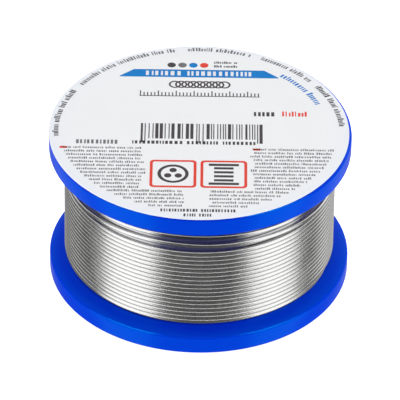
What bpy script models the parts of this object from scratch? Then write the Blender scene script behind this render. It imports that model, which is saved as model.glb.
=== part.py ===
"""Solder wire spool: 1 mm solder wound on a three-part moulded spool with a paper label on its top flange.

Two identical flanges snap into the ends of a barrel. The barrel carries a bore tube, so that the spool turns
on a spindle, and the wire is wound on it between the flanges. Lengths are in metres and +Z is up. The origin
is on the spool's axis, at the height of the face that it stands on.
"""

from math import cos, floor, pi, radians, sin, tan

import bmesh
import bpy
import numpy as np
from mathutils import Matrix, Vector

MM = 0.001

# Spool
FLANGE_DIAMETER = 63.0 * MM
SPOOL_HEIGHT = 34.3 * MM  # from the outer face of one flange to that of the other
BORE_DIAMETER = 11.0 * MM
BORE_WALL = 2.0 * MM
BORE_SETBACK = 0.4 * MM  # the bore tube ends this far inside the outer faces
BORE_CHAMFER = 0.5 * MM
BARREL_DIAMETER = 31.0 * MM
BARREL_WALL = 1.8 * MM
BARREL_RIBS = 6
BARREL_RIB_THICKNESS = 1.4 * MM

# Flange
FLANGE_DEPTH = 5.2 * MM  # from the outer face to the face that the wire lies against
RIM_HEIGHT = 4.0 * MM
RIM_WALL = 2.2 * MM
RIM_EDGE_RADIUS = 0.7 * MM
RIM_FOOT_RADIUS = 0.4 * MM  # inner edge of the face that the spool stands on
SLOPE_WIDTH = 3.2 * MM  # the wound side rises over this width from the rim to its flat
SLOPE_BLEND_RADIUS = 2.0 * MM
WEB_THICKNESS = 2.0 * MM
WEB_CORNER_RADIUS = 0.6 * MM
COLLAR_WALL = 1.8 * MM
RIB_COUNT = 12
RIB_THICKNESS = 1.2 * MM
RIB_SETBACK = 0.2 * MM
SPIGOT_LENGTH = 4.5 * MM
SPIGOT_WALL = 1.5 * MM
SNAP_HEIGHT = 0.5 * MM
SNAP_WIDTH = 1.0 * MM
SNAP_FROM_TIP = 1.4 * MM
START_HOLE_DIAMETER = 2.2 * MM  # where the winder threads the wire's first end

# Wire
WIRE_DIAMETER = 1.0 * MM
WIRE_SPACING = 0.02 * MM  # left between neighbouring turns by the winder
TURN_GAP = 0.42 * MM  # the drawn turns stand this far apart, so the tube is thinner than the wire
WINDING_MARGIN = 3.15 * MM  # the full spool's outer layer lies this far inside the flange's edge
SPREAD_TURNS = 2.25  # the last turns, laid apart below the upper flange
SPREAD_PITCH = 2.15 * MM
WIRE_START_DEGREES = 50.0  # from the front, towards +X
WIRE_BEND_RADIUS = 0.9 * MM
WIRE_TUCK_LENGTH = 0.7 * MM  # straight end that dives square into the layers below

# Label
LABEL_MARGIN = 0.3 * MM  # the label's edge lies this far inside the flange's edge
LABEL_THICKNESS = 0.15 * MM
LABEL_GAP = 0.2 * MM

# Fits
FIT_CLEARANCE = 0.3 * MM
SEAT_GAP = 0.3 * MM
OVERLAP = 0.3 * MM  # how far ribs run into the walls that they join

# Facets
FLANGE_STEPS = 72
BARREL_STEPS = 48
ROUND_STEPS = 64
CORNER_STEPS = 2
POINTS_PER_TURN = 24
BEND_POINTS = 3

# Derived sizes
FLANGE_RADIUS = FLANGE_DIAMETER / 2
BARREL_RADIUS = BARREL_DIAMETER / 2
BARREL_INNER_RADIUS = BARREL_RADIUS - BARREL_WALL
BORE_RADIUS = BORE_DIAMETER / 2
BORE_OUTER_RADIUS = BORE_RADIUS + BORE_WALL
COLLAR_INNER_RADIUS = BORE_OUTER_RADIUS + FIT_CLEARANCE
COLLAR_OUTER_RADIUS = COLLAR_INNER_RADIUS + COLLAR_WALL
SPIGOT_RADIUS = BARREL_INNER_RADIUS - FIT_CLEARANCE
RIM_INNER_RADIUS = FLANGE_RADIUS - RIM_WALL
WEB_OUTER_FACE = FLANGE_DEPTH - WEB_THICKNESS
SPIGOT_TIP = FLANGE_DEPTH + SPIGOT_LENGTH
SNAP_CENTRE = SPIGOT_TIP - SNAP_FROM_TIP
UPPER_FACE = SPOOL_HEIGHT - FLANGE_DEPTH
TURN_PITCH = WIRE_DIAMETER + WIRE_SPACING
TUBE_DIAMETER = TURN_PITCH - TURN_GAP
TURN_RADIUS = FLANGE_RADIUS - WINDING_MARGIN - TUBE_DIAMETER / 2
TURN_CHORD_RADIUS = TURN_RADIUS * cos(pi / POINTS_PER_TURN)
CORE_RADIUS = TURN_CHORD_RADIUS - TUBE_DIAMETER / 2 - SEAT_GAP
FIRST_TURN_HEIGHT = FLANGE_DEPTH + SEAT_GAP + TUBE_DIAMETER / 2
LAST_TURN_HEIGHT = UPPER_FACE - 2 * SEAT_GAP - TUBE_DIAMETER / 2
CLOSE_TURNS = (LAST_TURN_HEIGHT - FIRST_TURN_HEIGHT - SPREAD_TURNS * SPREAD_PITCH) / TURN_PITCH
TOTAL_TURNS = CLOSE_TURNS + SPREAD_TURNS
TUCK_RADIUS = TURN_RADIUS - WIRE_BEND_RADIUS - WIRE_TUCK_LENGTH
LABEL_RADIUS = FLANGE_RADIUS - LABEL_MARGIN

# Colours as linear RGB
SPOOL_BLUE = (0.003, 0.075, 0.72, 1.0)
SOLDER_GREY = (0.52, 0.52, 0.53, 1.0)
INNER_GREY = (0.30, 0.30, 0.32, 1.0)
PAPER_WHITE = (0.87, 0.88, 0.92, 1.0)


def remove_old_objects():
    for obj in list(bpy.data.objects):
        bpy.data.objects.remove(obj, do_unlink=True)


def new_collection(name):
    collection = bpy.data.collections.new(name)
    bpy.context.scene.collection.children.link(collection)
    return collection


def principled(name, colour, roughness, metallic):
    material = bpy.data.materials.new(name)
    material.use_nodes = True
    shader = material.node_tree.nodes["Principled BSDF"]
    shader.inputs["Base Color"].default_value = colour
    shader.inputs["Roughness"].default_value = roughness
    shader.inputs["Metallic"].default_value = metallic
    return material


def add_object(name, data, collection):
    obj = bpy.data.objects.new(name, data)
    collection.objects.link(obj)
    return obj


def hide(obj):
    obj.hide_render = True
    obj.display_type = "WIRE"


def rounded_corner(before, corner, after, radius):
    """Points of the arc that rounds a corner of an outline, from its first side to its second."""
    first = (Vector(before) - Vector(corner)).normalized()
    second = (Vector(after) - Vector(corner)).normalized()
    half_angle = first.angle(second) / 2
    setback = radius / tan(half_angle)
    centre = Vector(corner) + (first + second).normalized() * (radius / sin(half_angle))
    start = Vector(corner) + first * setback - centre
    end = Vector(corner) + second * setback - centre
    turn = start.angle_signed(end)
    points = []
    for step in range(CORNER_STEPS + 1):
        spoke = start.copy()
        spoke.rotate(Matrix.Rotation(-turn * step / CORNER_STEPS, 2))
        points.append(tuple(centre + spoke))
    return points


def outline_points(corners):
    """Radius and height of each point of an outline whose corners are (radius, height, fillet radius)."""
    points = []
    for index, (radius, height, fillet) in enumerate(corners):
        before = corners[index - 1][:2]
        after = corners[(index + 1) % len(corners)][:2]
        if fillet > 0:
            points += rounded_corner(before, (radius, height), after, fillet)
        else:
            points.append((radius, height))
    return points


def runs_down_outside(points):
    """The outline in the order that a screw turns into a body with its faces outwards."""
    area = 0.0
    for (x0, z0), (x1, z1) in zip(points, points[1:] + points[:1]):
        area += x0 * z1 - x1 * z0
    return points if area < 0 else points[::-1]


def turned_body(name, corners, steps, collection):
    """A closed outline turned round the Z axis."""
    points = runs_down_outside(outline_points(corners))
    mesh = bpy.data.meshes.new(name)
    vertices = [(x, 0.0, z) for x, z in points]
    edges = [(i, (i + 1) % len(points)) for i in range(len(points))]
    mesh.from_pydata(vertices, edges, [])
    obj = add_object(name, mesh, collection)
    screw = obj.modifiers.new("turn", "SCREW")
    screw.axis = "Z"
    screw.angle = 2 * pi
    screw.steps = steps
    screw.render_steps = steps
    screw.use_merge_vertices = True
    screw.merge_threshold = 0.00001
    return obj


def plain_cylinder(name, radius, low, high, steps, collection):
    mesh = bpy.data.meshes.new(name)
    shape = bmesh.new()
    middle = Matrix.Translation((0.0, 0.0, (low + high) / 2))
    bmesh.ops.create_cone(
        shape, cap_ends=True, segments=steps, radius1=radius, radius2=radius, depth=high - low, matrix=middle
    )
    shape.to_mesh(mesh)
    shape.free()
    return add_object(name, mesh, collection)


def radial_boxes(name, count, inner, outer, thickness, low, high, collection):
    """Upright plates that stand round the axis like spokes."""
    mesh = bpy.data.meshes.new(name)
    shape = bmesh.new()
    size = Matrix.Diagonal((outer - inner, thickness, high - low, 1.0))
    place = Matrix.Translation(((inner + outer) / 2, 0.0, (low + high) / 2))
    for index in range(count):
        turn = Matrix.Rotation(2 * pi * index / count, 4, "Z")
        bmesh.ops.create_cube(shape, size=1.0, matrix=turn @ place @ size)
    shape.to_mesh(mesh)
    shape.free()
    return add_object(name, mesh, collection)


def combine(obj, other, operation):
    """Adds or takes away another body, which stays as a guide."""
    hide(other)
    modifier = obj.modifiers.new(other.name, "BOOLEAN")
    modifier.operation = operation
    modifier.solver = "EXACT"
    modifier.object = other


def finished_mesh(obj, name):
    """The mesh that an object's modifiers give it, in world space and welded."""
    graph = bpy.context.evaluated_depsgraph_get()
    mesh = bpy.data.meshes.new_from_object(obj.evaluated_get(graph))
    mesh.transform(obj.matrix_world)
    mesh.name = name
    shape = bmesh.new()
    shape.from_mesh(mesh)
    bmesh.ops.remove_doubles(shape, verts=shape.verts, dist=0.000001)
    shape.to_mesh(mesh)
    shape.free()
    return mesh


def shade_round(obj):
    obj.data.shade_smooth()
    obj.data.set_sharp_from_angle(angle=radians(35.0))


def flange_corners():
    """Half section of a flange that lies with its outer face down, in radius, height and fillet."""
    snap_low = SNAP_CENTRE - SNAP_WIDTH / 2
    snap_high = SNAP_CENTRE + SNAP_WIDTH / 2
    snap_radius = SPIGOT_RADIUS + SNAP_HEIGHT
    spigot_inner = SPIGOT_RADIUS - SPIGOT_WALL
    return [
        (RIM_INNER_RADIUS, 0.0, RIM_FOOT_RADIUS),
        (FLANGE_RADIUS, 0.0, RIM_EDGE_RADIUS),
        (FLANGE_RADIUS, RIM_HEIGHT, RIM_EDGE_RADIUS),
        (FLANGE_RADIUS - SLOPE_WIDTH, FLANGE_DEPTH, SLOPE_BLEND_RADIUS),
        (SPIGOT_RADIUS, FLANGE_DEPTH, 0.0),
        (SPIGOT_RADIUS, snap_low, 0.0),
        (snap_radius, SNAP_CENTRE, 0.0),
        (SPIGOT_RADIUS, snap_high, 0.0),
        (SPIGOT_RADIUS, SPIGOT_TIP, 0.0),
        (spigot_inner, SPIGOT_TIP, 0.0),
        (spigot_inner, FLANGE_DEPTH, 0.0),
        (COLLAR_INNER_RADIUS, FLANGE_DEPTH, 0.0),
        (COLLAR_INNER_RADIUS, RIB_SETBACK, 0.0),
        (COLLAR_OUTER_RADIUS, RIB_SETBACK, 0.0),
        (COLLAR_OUTER_RADIUS, WEB_OUTER_FACE, 0.0),
        (RIM_INNER_RADIUS, WEB_OUTER_FACE, WEB_CORNER_RADIUS),
    ]


def start_hole_cutter(collection):
    """Stands in the middle of a bay between two ribs, next to the barrel."""
    radius = START_HOLE_DIAMETER / 2
    cutter = plain_cylinder("start_hole", radius, 0.0, SPIGOT_TIP, POINTS_PER_TURN, collection)
    reach = BARREL_RADIUS + SEAT_GAP + radius
    middle_of_bay = pi / RIB_COUNT
    cutter.data.transform(Matrix.Rotation(middle_of_bay, 4, "Z") @ Matrix.Translation((reach, 0.0, 0.0)))
    return cutter


def flange_mesh(guides):
    flange = turned_body("flange", flange_corners(), FLANGE_STEPS, guides)
    ribs = radial_boxes(
        "flange_ribs",
        RIB_COUNT,
        COLLAR_OUTER_RADIUS - OVERLAP,
        RIM_INNER_RADIUS + OVERLAP,
        RIB_THICKNESS,
        RIB_SETBACK,
        WEB_OUTER_FACE + OVERLAP,
        guides,
    )
    combine(flange, ribs, "UNION")
    combine(flange, start_hole_cutter(guides), "DIFFERENCE")
    mesh = finished_mesh(flange, "flange_moulding")
    hide(flange)
    return mesh


def make_flanges(parts, guides):
    """One moulding used twice: the upper one is turned over."""
    mesh = flange_mesh(guides)
    mesh.materials.append(principled("moulded polystyrene, blue", SPOOL_BLUE, 0.32, 0.0))
    lower = add_object("lower_flange", mesh, parts)
    upper = add_object("upper_flange", mesh, parts)
    upper.location = (0.0, 0.0, SPOOL_HEIGHT)
    upper.rotation_euler = (pi, 0.0, 0.0)
    shade_round(lower)


def barrel_corners():
    """Half section of the barrel's wall, with a groove for the snap ring of each flange."""
    low = FLANGE_DEPTH + SEAT_GAP
    high = UPPER_FACE - SEAT_GAP
    groove_radius = BARREL_INNER_RADIUS + SNAP_HEIGHT
    half_groove = SNAP_WIDTH / 2 + FIT_CLEARANCE
    upper_snap = SPOOL_HEIGHT - SNAP_CENTRE
    return [
        (BARREL_RADIUS, low, 0.0),
        (BARREL_RADIUS, high, 0.0),
        (BARREL_INNER_RADIUS, high, 0.0),
        (BARREL_INNER_RADIUS, upper_snap + half_groove, 0.0),
        (groove_radius, upper_snap, 0.0),
        (BARREL_INNER_RADIUS, upper_snap - half_groove, 0.0),
        (BARREL_INNER_RADIUS, SNAP_CENTRE + half_groove, 0.0),
        (groove_radius, SNAP_CENTRE, 0.0),
        (BARREL_INNER_RADIUS, SNAP_CENTRE - half_groove, 0.0),
        (BARREL_INNER_RADIUS, low, 0.0),
    ]


def bore_tube_corners():
    """Half section of the tube that turns on the spindle, chamfered for lead-in."""
    low = BORE_SETBACK
    high = SPOOL_HEIGHT - BORE_SETBACK
    return [
        (BORE_OUTER_RADIUS, low, 0.0),
        (BORE_OUTER_RADIUS, high, 0.0),
        (BORE_RADIUS + BORE_CHAMFER, high, 0.0),
        (BORE_RADIUS, high - BORE_CHAMFER, 0.0),
        (BORE_RADIUS, low + BORE_CHAMFER, 0.0),
        (BORE_RADIUS + BORE_CHAMFER, low, 0.0),
    ]


def make_barrel(parts, guides):
    barrel = turned_body("barrel", barrel_corners(), BARREL_STEPS, parts)
    combine(barrel, turned_body("bore_tube", bore_tube_corners(), BARREL_STEPS, guides), "UNION")
    ribs = radial_boxes(
        "barrel_ribs",
        BARREL_RIBS,
        BORE_OUTER_RADIUS - OVERLAP,
        BARREL_INNER_RADIUS + OVERLAP,
        BARREL_RIB_THICKNESS,
        SPIGOT_TIP + FIT_CLEARANCE,
        SPOOL_HEIGHT - SPIGOT_TIP - FIT_CLEARANCE,
        guides,
    )
    combine(barrel, ribs, "UNION")
    barrel.data.materials.append(principled("moulded polystyrene, blue, barrel", SPOOL_BLUE, 0.4, 0.0))


def turn_height(turns):
    """Height of the wire's centre after this many turns: close turns, then the spread ones."""
    close = min(turns, CLOSE_TURNS)
    spread = max(turns - CLOSE_TURNS, 0.0)
    return FIRST_TURN_HEIGHT + close * TURN_PITCH + spread * SPREAD_PITCH


def turn_direction(turns):
    """Outward and forward directions, as the wire runs clockwise seen from above."""
    angle = radians(WIRE_START_DEGREES) - 2 * pi * turns
    outward = Vector((sin(angle), -cos(angle), 0.0))
    forward = Vector((-cos(angle), -sin(angle), 0.0))
    return outward, forward


def tucked_end(turns, way):
    """Points of an end, from inside the layers to the outer turn. It runs forward, or back if way is -1."""
    outward, forward = turn_direction(turns)
    base = Vector((0.0, 0.0, turn_height(turns)))
    shoulder = TURN_RADIUS - WIRE_BEND_RADIUS
    points = [base + outward * TUCK_RADIUS]
    for step in range(BEND_POINTS):
        angle = pi / 2 * step / BEND_POINTS
        reach = shoulder + WIRE_BEND_RADIUS * sin(angle)
        along = WIRE_BEND_RADIUS * (1 - cos(angle)) * way
        points.append(base + outward * reach + forward * along)
    return points


def wire_points():
    """The centre line of the outer layer, from one tucked end to the other."""
    bend = WIRE_BEND_RADIUS / (2 * pi * TURN_RADIUS)
    first = bend
    last = TOTAL_TURNS - bend
    count = floor((last - first) * POINTS_PER_TURN)
    points = tucked_end(0.0, 1)
    for index in range(count + 1):
        turns = first + (last - first) * index / count
        outward, _ = turn_direction(turns)
        points.append(outward * TURN_RADIUS + Vector((0.0, 0.0, turn_height(turns))))
    points += tucked_end(TOTAL_TURNS, -1)[::-1]
    return points


def least_gap(points):
    """Smallest clear distance between turns, measured from point to point and point to stretch."""
    line = np.array([tuple(point) for point in points])
    skip = POINTS_PER_TURN // 2
    least = 1.0
    for index, point in enumerate(line[: -skip - 1]):
        start = line[index + skip : -1]
        stretch = line[index + skip + 1 :] - start
        share = np.sum((point - start) * stretch, axis=1) / np.sum(stretch**2, axis=1)
        nearest = start + stretch * np.clip(share, 0.0, 1.0)[:, None]
        least = min(least, float(np.linalg.norm(nearest - point, axis=1).min()))
    return least - TUBE_DIAMETER


def tube_along(name, points, diameter, guides):
    """A round tube along a line of points, as a mesh."""
    curve = bpy.data.curves.new(name, "CURVE")
    curve.dimensions = "3D"
    curve.bevel_depth = diameter / 2
    curve.bevel_resolution = 1
    curve.use_fill_caps = True
    spline = curve.splines.new("POLY")
    spline.points.add(len(points) - 1)
    for place, point in zip(spline.points, points):
        place.co = (*point, 1.0)
    guide = add_object(name + "_line", curve, guides)
    mesh = finished_mesh(guide, name)
    bpy.data.objects.remove(guide, do_unlink=True)
    return mesh


def make_outer_layer(parts, guides):
    points = wire_points()
    mesh = tube_along("solder_outer_layer", points, TUBE_DIAMETER, guides)
    mesh.materials.append(principled("drawn solder wire", SOLDER_GREY, 0.28, 1.0))
    layer = add_object("solder_outer_layer", mesh, parts)
    shade_round(layer)
    print(f"outer layer: {TOTAL_TURNS:.2f} turns, least gap {least_gap(points) / MM:.3f} mm")


def tuck_cutter(name, turns, guides):
    """A round pocket in the inner layers, where an end of the outer layer dives in."""
    radius = TUBE_DIAMETER / 2 + SEAT_GAP
    low = TUCK_RADIUS - SEAT_GAP
    high = CORE_RADIUS + OVERLAP
    cutter = plain_cylinder(name, radius, low, high, POINTS_PER_TURN // 2, guides)
    outward, _ = turn_direction(turns)
    aim = outward.to_track_quat("Z", "Y").to_matrix().to_4x4()
    cutter.data.transform(Matrix.Translation((0.0, 0.0, turn_height(turns))) @ aim)
    return cutter


def core_corners():
    """Half section of the packed inner layers, between the barrel and the outer layer."""
    low = FLANGE_DEPTH + SEAT_GAP
    high = UPPER_FACE - SEAT_GAP
    inner = BARREL_RADIUS + SEAT_GAP
    return [
        (inner, low, 0.0),
        (CORE_RADIUS, low, 0.0),
        (CORE_RADIUS, high, 0.0),
        (inner, high, 0.0),
    ]


def make_inner_layers(parts, guides):
    core = turned_body("solder_inner_layers", core_corners(), ROUND_STEPS, parts)
    combine(core, tuck_cutter("first_tuck", 0.0, guides), "DIFFERENCE")
    combine(core, tuck_cutter("last_tuck", TOTAL_TURNS, guides), "DIFFERENCE")
    core.data.materials.append(principled("drawn solder wire, inner layers", INNER_GREY, 0.35, 1.0))


def make_label(parts):
    low = SPOOL_HEIGHT + LABEL_GAP
    label = plain_cylinder("label", LABEL_RADIUS, low, low + LABEL_THICKNESS, FLANGE_STEPS, parts)
    label.data.materials.append(principled("coated paper, white", PAPER_WHITE, 0.35, 0.0))
    shade_round(label)


def main():
    remove_old_objects()
    parts = new_collection("solder_wire_spool")
    guides = new_collection("cutters")
    make_flanges(parts, guides)
    make_barrel(parts, guides)
    make_inner_layers(parts, guides)
    make_outer_layer(parts, guides)
    make_label(parts)


main()
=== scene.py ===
"""Solder wire spool: finished surfaces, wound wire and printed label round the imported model."""

from math import cos, pi, radians, sin, sqrt, tan
from random import Random

import bmesh
import bpy
from mathutils import Matrix, Vector


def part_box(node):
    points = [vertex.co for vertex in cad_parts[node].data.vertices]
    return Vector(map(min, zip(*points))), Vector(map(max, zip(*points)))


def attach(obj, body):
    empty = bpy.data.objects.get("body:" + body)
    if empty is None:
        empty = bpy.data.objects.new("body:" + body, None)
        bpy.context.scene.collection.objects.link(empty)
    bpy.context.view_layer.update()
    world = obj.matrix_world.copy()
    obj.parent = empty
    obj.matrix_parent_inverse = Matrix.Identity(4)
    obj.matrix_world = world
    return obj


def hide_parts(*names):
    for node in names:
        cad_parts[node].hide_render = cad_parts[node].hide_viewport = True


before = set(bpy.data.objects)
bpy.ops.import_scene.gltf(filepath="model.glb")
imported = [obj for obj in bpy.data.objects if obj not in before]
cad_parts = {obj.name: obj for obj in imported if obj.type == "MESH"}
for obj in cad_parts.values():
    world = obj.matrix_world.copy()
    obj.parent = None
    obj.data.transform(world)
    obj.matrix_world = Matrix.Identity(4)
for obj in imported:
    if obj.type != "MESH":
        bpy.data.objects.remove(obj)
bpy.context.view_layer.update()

MM = 0.001

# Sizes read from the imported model
SPOOL_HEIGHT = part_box("upper_flange")[1][2]
FLANGE_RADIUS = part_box("lower_flange")[1][0]
SPIGOT_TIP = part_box("lower_flange")[1][2]
BARREL_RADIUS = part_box("barrel")[1][0]
BORE_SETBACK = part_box("barrel")[0][2]
LABEL_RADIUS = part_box("label")[1][0]

# Flange, the same moulding above and below
FLANGE_DEPTH = 5.2 * MM
RIM_HEIGHT = 4.0 * MM
RIM_WALL = 2.2 * MM
RIM_EDGE_RADIUS = 0.7 * MM
RIM_FOOT_RADIUS = 0.4 * MM
SLOPE_WIDTH = 3.2 * MM
SLOPE_BLEND_RADIUS = 2.0 * MM
WEB_THICKNESS = 2.0 * MM
WEB_CORNER_RADIUS = 0.6 * MM
COLLAR_WALL = 1.8 * MM
COLLAR_EDGE_RADIUS = 0.3 * MM
RIB_COUNT = 12
RIB_THICKNESS = 1.2 * MM
RIB_EDGE_RADIUS = 0.2 * MM
RIB_EDGE_STEPS = 3
RIB_SETBACK = 0.2 * MM
SPIGOT_WALL = 1.5 * MM
SNAP_HEIGHT = 0.5 * MM
SNAP_WIDTH = 1.0 * MM
SNAP_FROM_TIP = 1.4 * MM
START_HOLE_DIAMETER = 2.2 * MM
START_HOLE_MARGIN = 0.3 * MM
FIT_CLEARANCE = 0.3 * MM
OVERLAP = 0.3 * MM  # how far bodies reach into each other before they are joined

# Barrel and bore tube
BARREL_WALL = 1.8 * MM
BARREL_RIBS = 6
BARREL_RIB_THICKNESS = 1.4 * MM
BORE_RADIUS = 5.5 * MM
BORE_WALL = 2.0 * MM
BORE_CHAMFER = 0.5 * MM
BORE_EDGE_RADIUS = 0.2 * MM

# Wire
WIRE_DIAMETER = 1.0 * MM
TURN_PITCH = 1.02 * MM
LAYER_STEP = 0.87 * MM  # a layer's wire lies in the grooves of the one below
WINDING_MARGIN = 3.15 * MM
WIRE_START_DEGREES = 50.0
CLIMB_TURNS = 0.13  # the wire climbs onto the outer layer over this part of a turn
DIVE_TURNS = 0.05  # the last end dives between two turns over this one
DIVE_DEPTH = 1.6 * WIRE_DIAMETER
# Height of the wire's centre in millimetres after so many turns, where the last ones lie apart. Chosen along
# the route in the photo.
SPREAD_ROUTE = (
    (17.9, 23.98), (17.97, 24.12), (18.056, 24.9), (18.117, 25.1), (18.18, 25.35),
    (18.264, 25.0), (18.306, 24.65), (18.5, 25.1), (18.8, 26.5), (19.014, 26.75),
    (19.069, 27.0), (19.16, 27.35), (19.244, 27.05), (19.33, 26.9), (19.5, 26.8),
)
SEAT_GAP = 0.02 * MM
WIRE_SIDES = 14
LOWER_WIRE_SIDES = 10
POINTS_PER_TURN = 144
SWAY = 0.012 * MM
SWAY_LENGTH = 14.0 * MM

# Label
LABEL_SEAT = 0.01 * MM
LABEL_THICKNESS = 0.14 * MM
LABEL_EDGE_RADIUS = 0.03 * MM
LABEL_SHIFT = (-0.28 * MM, -0.2 * MM)  # stuck on a little off centre, as in the photo
INK_HEIGHT = 0.012 * MM
INK_SINK = 0.006 * MM  # the ink reaches this far into the paper
INK_STEP = 0.002 * MM  # between rings of ink that cross
WHITE_INK_LIFT = 0.008 * MM  # white lies on the blue band

# Print on the label, in millimetres from its centre
PRINT_SEED = 11
ROUND_PRINT_RADIUS = 29.2
BLUE_PRINT_RADIUS = 26.2
PARAGRAPH_ROWS = 17
PARAGRAPH_TOP = -6.9
PARAGRAPH_STEP = 1.25
PARAGRAPH_HEIGHT = 0.55
PARAGRAPH_RADIUS = 29.0
PARAGRAPH_DROP = 0.3
FIGURES_FOOT = -21.6  # the paragraphs keep clear of the figures down to here
FIGURES_SIDE = 10.6
MIDDLE_GAP = 1.6
RAGGED_EDGE = 1.6
PANEL_LEFT = -12.1
PANEL_RIGHT = 12.8
PANEL_TOP = 2.35
PANEL_FOOT = -3.1
PANEL_LONG_FOOT = -4.5
FIGURE_ASIDE = 5.2
FIGURE_HEIGHT = -15.5
THIN_LINE = 0.24
STRIPE_WIDTHS = (0.22, 0.22, 0.44, 0.66)
STRIPE_GAPS = (0.26, 0.36, 0.6)
LONG_STRIPES = 1.0  # so near the panel's ends and middle
# Small print: bars in a group, and by its height the gap after a group and the rise of a tall bar
GROUP_BARS = (3, 14)
GROUP_GAP = 0.6
TALL_RISE = 0.35
# Each ink where it covers well, and where it is thin
INKS = {
    "grey": ("6C6A6E", "808084"),
    "dark": ("423D40", "544F52"),
    "red": ("E23A2C", "EA5444"),
    "white": ("E8E8EA", "F0F0F2"),
    "blue": ("0078C8", "0A84D2"),
}
# Rows of dark bars: height on the label, left and right end, size, width of a bar and gap by size
DARK_ROWS = (
    (-5.0, -13.8, 12.6, 1.1, 0.4, 0.3),
    (5.4, 11.4, 16.4, 1.5, 0.34, 0.26),
    (-28.6, -7.6, 7.8, 0.95, 0.32, 0.26),
    (-30.2, -2.9, 3.2, 0.95, 0.32, 0.26),
)

# Materials: the size of each pattern
PIGMENT_CLOUD = 14.0 * MM
ORANGE_PEEL = 0.7 * MM
OXIDE_HAZE = 5.0 * MM
DRAWING_LINE = 0.2 * MM  # real ones are finer, and would not show
DRAWING_STRETCH = 50.0  # a line's length by its width
PAPER_CLOUD = 12.0 * MM
PAPER_FIBRE = 0.6 * MM  # real ones are finer, and would not show
INK_CLOUD = 0.5 * MM
# Where the painted lighter blue of the lit rim and the painted blue bounce on the label's edge set in, and
# where they are full
PAINTED_RIM_LIGHT_START = FLANGE_RADIUS - 2.0 * MM
PAINTED_RIM_LIGHT_FULL = FLANGE_RADIUS - 0.2 * MM
PAINTED_BOUNCE_START = 27.0 * MM
PAINTED_BOUNCE_FULL = 31.0 * MM
# The painted shade and glow on the winding keep off its bright bands, which lie this far aside of its middle,
# and weaken on its sides, which begin further out
BAND_ASIDE = 14.5 * MM
BAND_HALF_WIDTH = 4.5 * MM
BAND_FADE_END = 7.0 * MM
SIDE_START = 25.5 * MM
SIDE_FULL = 27.5 * MM
SIDE_SHADE = 0.4
GAP_SHADE = 0.8
CLEAR_FADE = 0.25

# Turned shapes
FLANGE_STEPS = 256
BARREL_STEPS = 128
CORNER_STEPS = 6
HOLE_STEPS = 48
SHARP_DEGREES = 32.0
DISC_STEPS = 40
SEAM_WELD = 0.005 * MM
AXIS_WELD = 0.002 * MM
SLIVER_AREA = 1e-14

# Camera, as the photograph was taken
PICTURE_SIZE = 400.0
FOCAL_PIXELS = 4493.0
SENSOR_WIDTH = 36.0
CAMERA_ELEVATION = 36.12
CAMERA_ROLL = 0.80
CAMERA_DISTANCE = 943.8 * MM
CAMERA_AIM_HEIGHT = 16.0 * MM
PICTURE_CENTRE = (199.4, 201.6)

# Studio, in metres
SOFTBOX_DISTANCE = 1.2
OVERHEAD_SIZE = 2.4
FLOOR_HALF_SIZE = 3.0
FLOOR_DROP = 0.02 * MM
BOUNCE_HEIGHT = 0.1 * MM
PALE_SIDE_AZIMUTH = 170.0

# Derived sizes
FLANGE_INNER_FACE = SPOOL_HEIGHT - FLANGE_DEPTH
WEB_OUTER_FACE = FLANGE_DEPTH - WEB_THICKNESS
RIM_INNER_RADIUS = FLANGE_RADIUS - RIM_WALL
BARREL_INNER_RADIUS = BARREL_RADIUS - BARREL_WALL
BORE_OUTER_RADIUS = BORE_RADIUS + BORE_WALL
COLLAR_INNER_RADIUS = BORE_OUTER_RADIUS + FIT_CLEARANCE
COLLAR_OUTER_RADIUS = COLLAR_INNER_RADIUS + COLLAR_WALL
SPIGOT_RADIUS = BARREL_INNER_RADIUS - FIT_CLEARANCE
SNAP_CENTRE = SPIGOT_TIP - SNAP_FROM_TIP
WIRE_RADIUS = WIRE_DIAMETER / 2
TURN_RADIUS = FLANGE_RADIUS - WINDING_MARGIN - WIRE_RADIUS
FIRST_TURN_HEIGHT = FLANGE_DEPTH + SEAT_GAP + WIRE_RADIUS
TOTAL_TURNS = SPREAD_ROUTE[-1][0]
LABEL_LOW = SPOOL_HEIGHT + LABEL_SEAT
LABEL_TOP = LABEL_LOW + LABEL_THICKNESS


def linear(hex_colour):
    """An sRGB colour such as 0344D8 as linear RGBA."""
    parts = [int(hex_colour[i : i + 2], 16) / 255 for i in (0, 2, 4)]
    return (*[p / 12.92 if p <= 0.04045 else ((p + 0.055) / 1.055) ** 2.4 for p in parts], 1.0)


def add_node(tree, kind, inputs=(), **settings):
    """A node with its settings. Its inputs, in order or by name or number, are values, sockets to link, or
    nodes linked by their first output. A colour Mix takes its colours at 6 and 7; its blend is output 2."""
    node = tree.nodes.new(kind)
    for name, value in settings.items():
        setattr(node, name, value)
    for key, value in inputs.items() if isinstance(inputs, dict) else enumerate(inputs):
        if isinstance(value, bpy.types.Node):
            value = value.outputs[0]
        if isinstance(value, bpy.types.NodeSocket):
            tree.links.new(value, node.inputs[key])
        else:
            node.inputs[key].default_value = value
    return node


def new_material(name):
    """A material and its empty tree."""
    material = bpy.data.materials.new(name)
    material.use_nodes = True
    material.node_tree.nodes.clear()
    return material, material.node_tree


def end_material(tree, inputs):
    """Ends a material's tree with a principled shader that has these inputs."""
    shader = add_node(tree, "ShaderNodeBsdfPrincipled", inputs)
    add_node(tree, "ShaderNodeOutputMaterial", {"Surface": shader})


def from_axis(tree, place):
    """How far a place is from the spool's axis."""
    level = add_node(tree, "ShaderNodeVectorMath", (place, (1.0, 1.0, 0.0)), operation="MULTIPLY")
    return add_node(tree, "ShaderNodeVectorMath", (level,), operation="LENGTH").outputs["Value"]


def facing_up(tree):
    """How far a surface faces up: 1 on a top, 0 on a side and -1 on an underside."""
    normal = add_node(tree, "ShaderNodeNewGeometry").outputs["Normal"]
    return add_node(tree, "ShaderNodeSeparateXYZ", (normal,)).outputs["Z"]


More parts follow.
